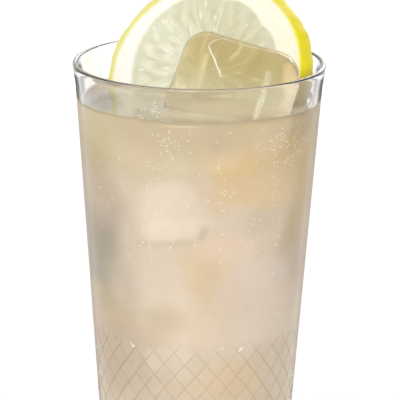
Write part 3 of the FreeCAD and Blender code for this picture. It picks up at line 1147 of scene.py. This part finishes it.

# The grey, tan, olive and shade rows at the sides paint shade where the round wall turns from the
# lamps; thin shade rows paint shadows under and between pale cubes; the shaded peel row paints the
# lemon's peel in shade.
PATCHES = [
    # paint, turn deg, height mm, half-width deg, half-height mm, lean, strength, softness
    (PUNCH_TAN, -72, 112, 24, 16.0, 0.0, 0.85, 0.8),
    (PUNCH_OLIVE, -66, 130, 18, 8.0, 0.0, 0.8, 0.8),
    (PUNCH_TAN, 74, 104, 20, 24.0, 0.0, 0.6, 0.8),
    (PUNCH_WARM, 38, 122, 34, 10.0, 0.0, 0.75, 0.5),
    (PUNCH_WARM, 36, 136, 18, 4.0, 0.0, 0.35, 1.2),
    (PUNCH_PALE, -15, 112, 18, 8.0, 0.12, 0.45, 0.4),
    (PUNCH_PALE, -13, 106, 13, 3.4, 0.14, 0.6, 0.3),
    (PUNCH_SHADE, -20, 101.2, 18, 0.9, 0.14, 0.16, 0.6),
    (PUNCH_SHADE, 3, 105, 2, 2.2, -0.3, 0.3, 0.8),
    (PUNCH_SHADE, 8, 132, 3, 1.8, 0.3, 0.12, 0.8),
    (PUNCH_PALE, -20, 88, 16, 8.0, 0.0, 0.25, 0.5),
    (PUNCH_WARM, 8, 90, 14, 12.0, 0.2, 0.45, 0.7),
    (PUNCH_PINK, 17, 100, 15, 3.5, 0.0, 0.6, 0.7),
    (PUNCH_SHADE, 36, 108, 10, 4.5, 0.2, 0.12, 0.6),
    (PUNCH_SHADE, 60, 95, 14, 8.5, 0.1, 0.20, 0.7),
    (PUNCH_GREY, -54, 95, 17, 16.0, 0.0, 0.70, 1.2),
    (PUNCH_SHADE, -70, 93, 17, 13.0, -0.2, 0.80, 1.3),
    (PUNCH_OLIVE, -64, 78, 15, 6.0, 0.0, 0.7, 0.8),
    (PUNCH_PEARL, 38, 82, 24, 13.0, -0.1, 0.70, 0.7),
    (PUNCH_PINK, -3, 76, 18, 6.0, 0.0, 0.5, 0.7),
    (PUNCH_TAN, -52, 66, 34, 14.0, 0.0, 0.60, 0.8),
    (PUNCH_OLIVE, -20, 78, 16, 3.0, 0.0, 0.25, 0.8),
    (PUNCH_PALE, -16, 64, 14, 5.0, 0.1, 0.3, 0.4),
    (PUNCH_WARM, 20, 58, 20, 6.0, 0.0, 0.5, 1.0),
    (PUNCH_AMBER, 84, 121, 26, 20.0, 0.0, 0.75, 1.0),
    (SHADED_PEEL_PAINT, 88, 131, 9, 10.0, 0.0, 0.9, 0.6),
    (PUNCH_PALE, 150, 104, 24, 10.0, 0.1, 0.6, 0.3),
    (PUNCH_WARM, 196, 124, 26, 9.0, 0.0, 0.5, 0.5),
    (PUNCH_PALE, -140, 84, 22, 8.0, -0.1, 0.6, 0.3),
    (PUNCH_TAN, 120, 84, 22, 9.0, 0.2, 0.6, 0.7),
    (PUNCH_OLIVE, -110, 120, 22, 9.0, 0.0, 0.5, 0.8),
    (PUNCH_SHADE, 176, 88, 20, 5.0, 0.2, 0.4, 0.7),
    (PUNCH_PINK, 170, 72, 30, 7.0, 0.0, 0.5, 0.7),
    (PUNCH_WARM, -120, 58, 26, 7.0, 0.0, 0.5, 0.6),
    (PUNCH_WARM, 110, 56, 24, 6.0, 0.0, 0.5, 0.6),
]


def patch_weight(across, upward, strength, softness, waver=0.0):
    """Share of a patch's paint: a square with round corners and a soft edge."""
    from_middle = (across ** 4 + upward ** 4) ** 0.25 + waver
    return strength * (1 - smooth_step(from_middle, 1 - softness * 0.6, 1 + softness * 0.6))


def punch_colours(points):
    """Colour of the wall of drink: a height gradient with soft square patches over it."""
    turn = np.degrees(np.arctan2(points[..., 0], -points[..., 1]))
    height = points[..., 2] / MM
    near_top = smooth_step(height, 114, 136)
    colour = mix(PUNCH_BODY, PUNCH_TOP, near_top)
    waver = 0.08 * np.sin(height / 3.1 + turn / 7.0) + 0.07 * np.sin(height / 5.7 - turn / 4.3)
    for paint, at_turn, at_height, wide, tall, lean, strength, softness in PATCHES:
        aside = (np.mod(turn - at_turn + 180, 360) - 180)
        across = (aside + lean * (height - at_height) * 2) / wide
        upward = (height - at_height - lean * aside * 0.5) / tall
        weight = patch_weight(across, upward, strength, softness, waver)
        colour = mix(colour, paint, weight)
    # painted shade: a dark line along the brink, where the meniscus bends
    brink = np.exp(-((height - LEVEL / MM - 0.4) / 0.5) ** 2)
    return mix(colour, PUNCH_LINE, 0.55 * brink)


def points_of(piece):
    """All vertices of a piece as an array."""
    values = np.empty(len(piece.data.vertices) * 3, np.float32)
    piece.data.vertices.foreach_get("co", values)
    return values.reshape(-1, 3).astype(float)


PAINTED_LEMON_REFLECTION = light(242, 235, 212)
# The narrow pale row at x -21.6 mm paints a reflection of the lemon; the dark yellow row at the
# right wall paints the lemon's peel in shade as it shows there.
SURFACE_PATCHES = [
    # paint, x mm, y mm, half-width mm, half-depth mm, strength, softness
    (light(196, 182, 150), 0.0, -20.0, 30.0, 16.0, 0.5, 1.0),
    (light(140, 128, 108), -31.0, -3.0, 8.0, 14.0, 0.95, 1.0),
    (light(236, 226, 196), -21.6, -14.0, 4.0, 9.0, 0.6, 1.2),
    (light(188, 182, 160), -13.5, -15.0, 5.0, 10.0, 0.8, 1.0),
    (light(248, 236, 204), 13.0, -15.0, 19.0, 10.0, 0.95, 1.0),
    (light(150, 128, 58), 32.5, 2.0, 3.6, 11.0, 0.9, 1.0),
]


def surface_colours(points):
    """Colour of the open surface, seen from above: soft patches over the top's own paint, and a
    painted reflection of the lemon beside it.
    """
    colour = PUNCH_TOP + 0 * points
    for paint, x, y, wide, deep, strength, softness in SURFACE_PATCHES:
        aside, ahead = points[..., 0] / MM - x, points[..., 1] / MM - y
        weight = patch_weight(aside / wide, ahead / deep, strength, softness)
        colour = mix(colour, paint, weight)
    # painted reflection of the lemon on the surface to its left
    near_lemon = np.exp(-np.maximum(lemon_distance(points), 0) / (3.0 * MM))
    return mix(colour, PAINTED_LEMON_REFLECTION, 0.85 * near_lemon * (points[..., 0] < 0))


punch_points = points_of(punch)
on_top = (punch_points[:, 2] > LEVEL - 0.5 * MM) & (
    np.hypot(punch_points[:, 0], punch_points[:, 1]) < inner_radius(LEVEL) - 0.2 * MM)
store_points(punch, "open_surface", on_top.astype(float))
store_colours(punch, "cloud_colour", np.where(on_top[:, None], surface_colours(punch_points),
                                              punch_colours(punch_points)))
print("points of the open surface", int(on_top.sum()))

# %% Punch finish
WHITE = light(255, 255, 255)
cloudy = Finish("cloudy_lemon_punch", IOR=1.33, Specular_IOR_Level=0.5)
drift = between(cloudy, noise(cloudy, 95.0, 5.0, 0.6, (1, 1, 0.6)), 0.3, 0.7)
tone = colour_mix(cloudy, drift, light(247, 243, 236), WHITE)
painted = attribute(cloudy, "cloud_colour", "Color")
cloudy.set("Base Color", colour_mix(cloudy, 1.0, painted, tone, "MULTIPLY"))
open_part = attribute(cloudy, "open_surface")
cloudy.set("Transmission Weight", between(cloudy, open_part, 0, 1, 0.30, 0.45))
cloudy.set("Roughness", between(cloudy, open_part, 0, 1, 0.28, 0.05))
let_lamps_through(cloudy, (0.80, 0.76, 0.68))
put_on(punch, cloudy)
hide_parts("drink")

# %% [markdown]
# ## The lemon's finish
# The zones are already painted on the points. The shader adds what is finer
# than the grid: pores in the skin, wet gloss on the flesh, and the way light
# sinks a little into both.

# %% Lemon finish
fresh = Finish("fresh_lemon", Subsurface_Weight=0.2, Subsurface_Scale=0.003,
               Subsurface_Radius=(1.0, 0.9, 0.5), Specular_IOR_Level=0.25)
mottle = between(fresh, noise(fresh, 420.0, 4.0), 0.3, 0.7)
tone = colour_mix(fresh, mottle, light(247, 247, 243), WHITE)
zones = attribute(fresh, "zone_colour", "Color")
fresh.set("Base Color", colour_mix(fresh, 1.0, zones, tone, "MULTIPLY"))
fresh.set("Roughness", between(fresh, attribute(fresh, "flesh"), 0, 1, 0.5, 0.16))
bump(fresh, noise(fresh, 900.0), 0.00012, 0.6)
put_on(lemon, fresh)
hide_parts("lemon_slice")

# %% [markdown]
# ## The ice's finish
# Clear ice is nearly water: it bends light less than glass, and its melted skin is smooth and wet.
# It is honey-coloured higher up, where more punch and lemon show through it, and its left edge,
# where it is seen edge-on, is darkened with painted shade. Cubes deep in the drink look white
# because the cloud in front of them scatters, so they get a frosted, half-solid finish.

# %% Ice finishes
block_points = points_of(block_above)
from_left = into_frame(block_points, ice_middle, ice_along, ice_up, face_out)[:, 0]
store_points(block_above, "honey",
             smooth_step(block_points[:, 2] - LEVEL, 6 * MM, 12 * MM))
store_points(block_above, "left_edge", 1 - smooth_step(from_left, -13 * MM, -5 * MM))
ice = Finish("clear_ice", Transmission_Weight=1.0, IOR=1.31)
tint = colour_mix(ice, attribute(ice, "honey"), light(248, 241, 222), light(232, 216, 178))
edge_on = maths(ice, "MULTIPLY", attribute(ice, "left_edge"), turned_away(ice, 0.72, 0.92))
# painted shade on the left edge where it is seen edge-on
ice.set("Base Color", colour_mix(ice, edge_on, tint, light(92, 84, 46)))
ice.set("Roughness", between(ice, noise(ice, 160.0, 4.0), 0.35, 0.7, 0.09, 0.15))
bump(ice, noise(ice, 230.0, 2.0), 0.00035, 0.5)
let_lamps_through(ice, (0.96, 0.96, 0.94))
put_on(block_above, ice)
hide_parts("ice_block")

frosted = Finish("cloudy_ice", Transmission_Weight=0.55, IOR=1.08)
cloud = between(frosted, noise(frosted, 120.0, 4.0), 0.3, 0.7)
frosted.set("Base Color", colour_mix(frosted, cloud, light(236, 224, 206), light(255, 252, 244)))
frosted.set("Roughness", between(frosted, cloud, 0, 1, 0.15, 0.45))
let_lamps_through(frosted, (0.92, 0.91, 0.88))
for piece in (block_below, sunk_cubes):
    put_on(piece, frosted)

# %% [markdown]
# The crack and the bubbles are small and pale, with a grain in their white.
# The crack is not shown by bent or mirrored light, which would repeat it.

# %% Crack and bubble finishes
broken = Finish("ice_crack_white", Roughness=0.25, Specular_IOR_Level=0.5)
gleam = Finish("bubble_gleam", Transmission_Weight=0.45, IOR=1.2, Roughness=0.08)
for finish, scale, dull, bright, clear in (
        (broken, 500.0, (240, 234, 214), (255, 255, 250), (0.9, 0.9, 0.88)),
        (gleam, 300.0, (238, 226, 204), (255, 252, 246), (0.95, 0.94, 0.92))):
    grain = noise(finish, scale)
    finish.set("Base Color", colour_mix(finish, grain, light(*dull), light(*bright)))
    let_lamps_through(finish, clear)
put_on(crack, broken)
crack.visible_transmission = False
crack.visible_glossy = False
put_on(bubbles, gleam)

# %% [markdown]
# ## Floor, light and camera
# The glass stands on a plain white floor in white surroundings. The floor
# glows just enough to meet the background, and still darkens where the
# glass stands in the way of the lamps.

# %% Floor
def make_floor():
    """A flat disc under the glass, rings of points round the middle."""
    turns = np.arange(96) * 2 * math.pi / 96
    reach = np.array([0.1, 0.4, 1.0, 2.5, 6.0])
    rings = turned(reach, np.zeros(len(reach)), turns)
    quads, fans = skin_faces(len(reach), 96)
    points = np.concatenate([rings.reshape(-1, 3), [(0, 0, 0)]])
    fans = fans[(fans < len(points)).all(1)]
    mesh = bpy.data.meshes.new("floor")
    mesh.from_pydata(points, [], quads.tolist() + fans.tolist())
    mesh.update()
    floor = bpy.data.objects.new("floor", mesh)
    bpy.context.scene.collection.objects.link(floor)
    return floor


floor = make_floor()
matt = Finish(
    "white_floor", Base_Color=(0.8, 0.8, 0.8, 1), Roughness=0.9, Specular_IOR_Level=0.0,
    Emission_Color=(1, 1, 1, 1), Emission_Strength=0.31)
floor.data.materials.append(matt.material)

# %% World
ROOM_LIGHT, SEEN_WHITE = 0.64, 1.0
scene = bpy.context.scene
world = bpy.data.worlds.new("white_room")
scene.world = world
world.use_nodes = True
nodes, links = world.node_tree.nodes, world.node_tree.links
nodes.clear()
path = nodes.new("ShaderNodeLightPath")
seen = path.outputs["Is Camera Ray"]
for kind in ("Is Glossy Ray", "Is Transmission Ray"):
    either = nodes.new("ShaderNodeMath")
    either.operation = "MAXIMUM"
    links.new(seen, either.inputs[0])
    links.new(path.outputs[kind], either.inputs[1])
    seen = either.outputs["Value"]
choose = nodes.new("ShaderNodeMixShader")
links.new(seen, choose.inputs["Fac"])
for socket, strength in ((1, ROOM_LIGHT), (2, SEEN_WHITE)):
    background = nodes.new("ShaderNodeBackground")
    background.inputs["Color"].default_value = (1, 1, 1, 1)
    background.inputs["Strength"].default_value = strength
    links.new(background.outputs["Background"], choose.inputs[socket])
room = nodes.new("ShaderNodeOutputWorld")
links.new(choose.outputs["Shader"], room.inputs["Surface"])


# %% Lamps
def aim(thing, place, target):
    """Stand a lamp or a camera at a place and turn it to a target."""
    thing.location = place
    look = Vector(target) - Vector(place)
    thing.rotation_euler = look.to_track_quat("-Z", "Y").to_euler()


def soft_box(name, place, target, size, power):
    """A square area lamp aimed at a target."""
    lamp = bpy.data.lights.new(name, "AREA")
    lamp.shape = "SQUARE"
    lamp.size = size
    lamp.energy = power
    lamp_object = bpy.data.objects.new(name, lamp)
    scene.collection.objects.link(lamp_object)
    aim(lamp_object, place, target)


MID_HEIGHT = (0, 0, 0.10)
soft_box("key_box", (-0.35, -1.25, 0.60), MID_HEIGHT, 0.6, 8.5)
soft_box("back_box", (0.45, 1.2, 0.70), MID_HEIGHT, 0.8, 6.5)

# %% Camera
RIM_AHEAD, CAMERA_OVER_RIM, AIM_BELOW_RIM = 1.757, 0.393, 0.0427
SIDE_STEP, ROLL, LENS = 0.0007, math.radians(0.67), 541.0
camera_data = bpy.data.cameras.new("camera")
camera = bpy.data.objects.new("camera", camera_data)
scene.collection.objects.link(camera)
camera_data.sensor_width = 36.0
camera_data.lens = LENS
camera_data.clip_end = 50.0
aim(camera, (SIDE_STEP, -RIM_AHEAD, GLASS_HEIGHT + CAMERA_OVER_RIM),
    (SIDE_STEP, 0, GLASS_HEIGHT - AIM_BELOW_RIM))
camera.rotation_euler.rotate_axis("Z", ROLL)
scene.camera = camera
scene.view_settings.view_transform = "Standard"
scene.cycles.max_bounces = 16
scene.cycles.transmission_bounces = 14
scene.cycles.glossy_bounces = 6
scene.cycles.transparent_max_bounces = 16
scene.cycles.caustics_reflective = False
scene.cycles.use_denoising = True
